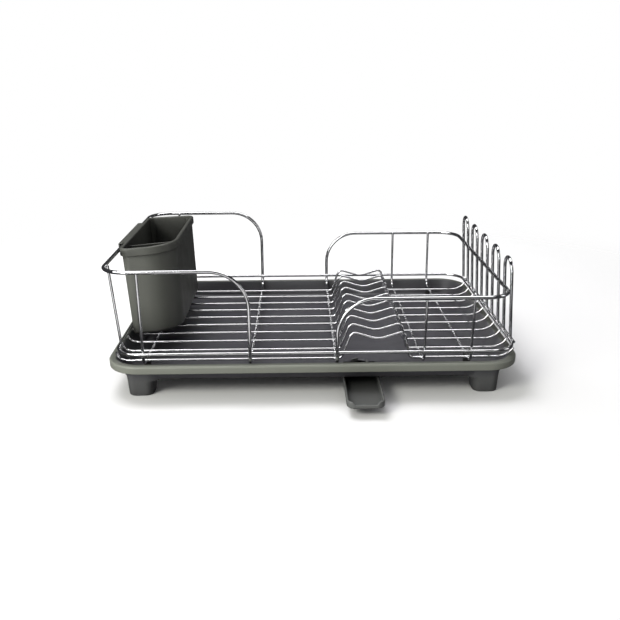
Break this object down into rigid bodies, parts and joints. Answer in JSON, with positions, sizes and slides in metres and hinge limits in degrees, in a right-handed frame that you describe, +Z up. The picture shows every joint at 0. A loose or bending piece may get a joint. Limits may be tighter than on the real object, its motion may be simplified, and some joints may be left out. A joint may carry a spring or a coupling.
{
  "type": "dish drying rack",
  "caption": "Wire dish rack with plate slots and cup prongs, standing in a moulded drip tray with a swivel spout, with a utensil cup hooked on one end.",
  "frame": {"origin": "on the table, under the middle of the whole object with its spout to the front", "axes": "+X along the tray towards the cup prongs, +Y from the spout's side to the rear, +Z up"},
  "size_m": [0.4822, 0.404, 0.1582],
  "materials": {
    "tray_plastic": "fine satin grain",
    "spout_plastic": "fine satin grain",
    "cup_plastic": "fine satin grain",
    "chromed_wire": "bright chrome plate",
    "foot_rubber": "matte"
  },
  "bodies": {
    "tray": {"drip_tray": "tray_plastic"},
    "spout": {"swivel_spout": "spout_plastic"},
    "rack": {"left_hoop": "chromed_wire", "right_hoop": "chromed_wire", "base_ring": "chromed_wire", "plate_wire_01": "chromed_wire", "plate_wire_02": "chromed_wire", "plate_wire_03": "chromed_wire", "plate_wire_04": "chromed_wire", "plate_wire_05": "chromed_wire", "plate_wire_06": "chromed_wire", "plate_wire_07": "chromed_wire", "plate_wire_08": "chromed_wire", "plate_wire_09": "chromed_wire", "plate_wire_10": "chromed_wire", "cross_wire_left": "chromed_wire", "cross_wire_middle": "chromed_wire", "cross_wire_right": "chromed_wire", "end_stay_front": "chromed_wire", "end_stay_rear": "chromed_wire", "prong_rail": "chromed_wire", "cup_prong_1": "chromed_wire", "cup_prong_2": "chromed_wire", "cup_prong_3": "chromed_wire", "cup_prong_4": "chromed_wire", "cup_prong_5": "chromed_wire", "rack_foot_front_left": "foot_rubber", "rack_foot_rear_left": "foot_rubber", "rack_foot_front_right": "foot_rubber", "rack_foot_rear_right": "foot_rubber"},
    "cup": {"utensil_cup": "cup_plastic"}
  },
  "joints": [
    {"name": "spout_swivel", "type": "hinge", "parent": "tray", "child": "spout", "pos_m": [0.056, -0.095, 0.0152], "axis": [0, 0, 1], "continuous": true},
    {"name": "rack_lift", "type": "slide", "parent": "tray", "child": "rack", "axis": [0, 0, 1], "range_m": [0, 0.18]},
    {"name": "cup_lift", "type": "slide", "parent": "rack", "child": "cup", "axis": [0, 0, 1], "range_m": [0, 0.15]}
  ]
}
